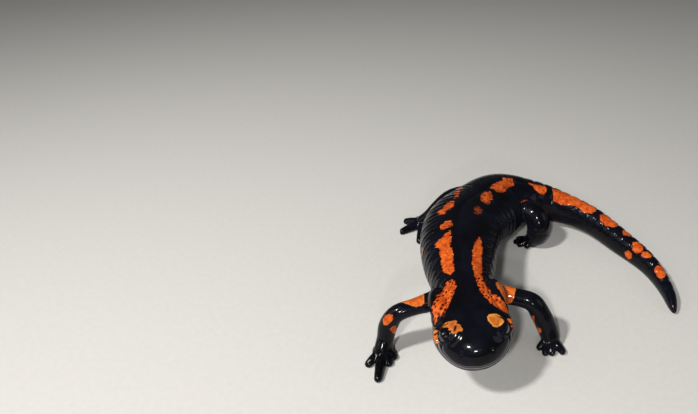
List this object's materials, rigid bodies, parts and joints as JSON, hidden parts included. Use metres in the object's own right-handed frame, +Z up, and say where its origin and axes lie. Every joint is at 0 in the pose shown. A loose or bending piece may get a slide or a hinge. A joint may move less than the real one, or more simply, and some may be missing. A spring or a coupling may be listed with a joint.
{
  "type": "fire salamander",
  "caption": "Life-size still model of an adult fire salamander, black with orange blotches, standing with its trunk bent and its tail curled round beside it.",
  "frame": {"origin": "middle of the whole outline seen from above, on the floor it stands on", "axes": "+Z up; the head faces -Y; the animal's own left side, where the tail curls round, is towards +X"},
  "size_m": [0.089, 0.087, 0.0214],
  "materials": {
    "skin": "bare wet skin, glossy blue-black with matter orange blotches",
    "eye": "wet, glossy, nearly black"
  },
  "bodies": {
    "root": {"head": "skin", "lower_jaw": "skin", "neck": "skin", "trunk_front": "skin", "trunk_rear": "skin", "pelvis": "skin", "tail_root": "skin", "tail_middle": "skin", "tail_end": "skin", "tail_tip": "skin", "upper_arm_left": "skin", "upper_arm_right": "skin", "forearm_left": "skin", "forearm_right": "skin", "hand_left": "skin", "hand_right": "skin", "thigh_left": "skin", "thigh_right": "skin", "shank_left": "skin", "shank_right": "skin", "foot_left": "skin", "foot_right": "skin", "eye_left": "eye", "eye_right": "eye"}
  },
  "joints": []
}
